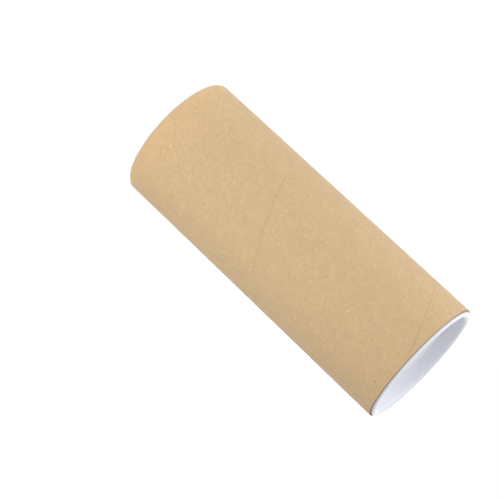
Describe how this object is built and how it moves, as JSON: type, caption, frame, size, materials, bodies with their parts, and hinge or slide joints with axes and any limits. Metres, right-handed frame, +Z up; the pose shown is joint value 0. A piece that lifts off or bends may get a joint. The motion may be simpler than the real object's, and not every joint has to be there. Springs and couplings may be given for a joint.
{
  "type": "cardboard mailing tube",
  "caption": "Short cardboard mailing tube, wound from brown kraft board, with a recessed white plastic plug cap pushed into each end; it holds rolled paper or small goods.",
  "frame": {"origin": "centre of the ring that the tube stands on, at the bottom of the assembly", "axes": "+Z up the tube's axis; the tube stands on its lower cap"},
  "size_m": [0.054, 0.054, 0.1331],
  "materials": {
    "kraft_board": "uncoated brown kraft board, wound from paper plies, with faint fibres and flecks",
    "white_plastic": "satin moulded polyethylene"
  },
  "bodies": {
    "lower_cap": {"bottom_cap": "white_plastic"},
    "tube": {"cardboard_tube": "kraft_board"},
    "upper_cap": {"top_cap": "white_plastic"}
  },
  "joints": [
    {"name": "bottom_cap_pull", "type": "slide", "parent": "lower_cap", "child": "tube", "axis": [0, 0, 1], "range_m": [0, 0.03]},
    {"name": "top_cap_pull", "type": "slide", "parent": "tube", "child": "upper_cap", "axis": [0, 0, 1], "range_m": [0, 0.03]}
  ]
}
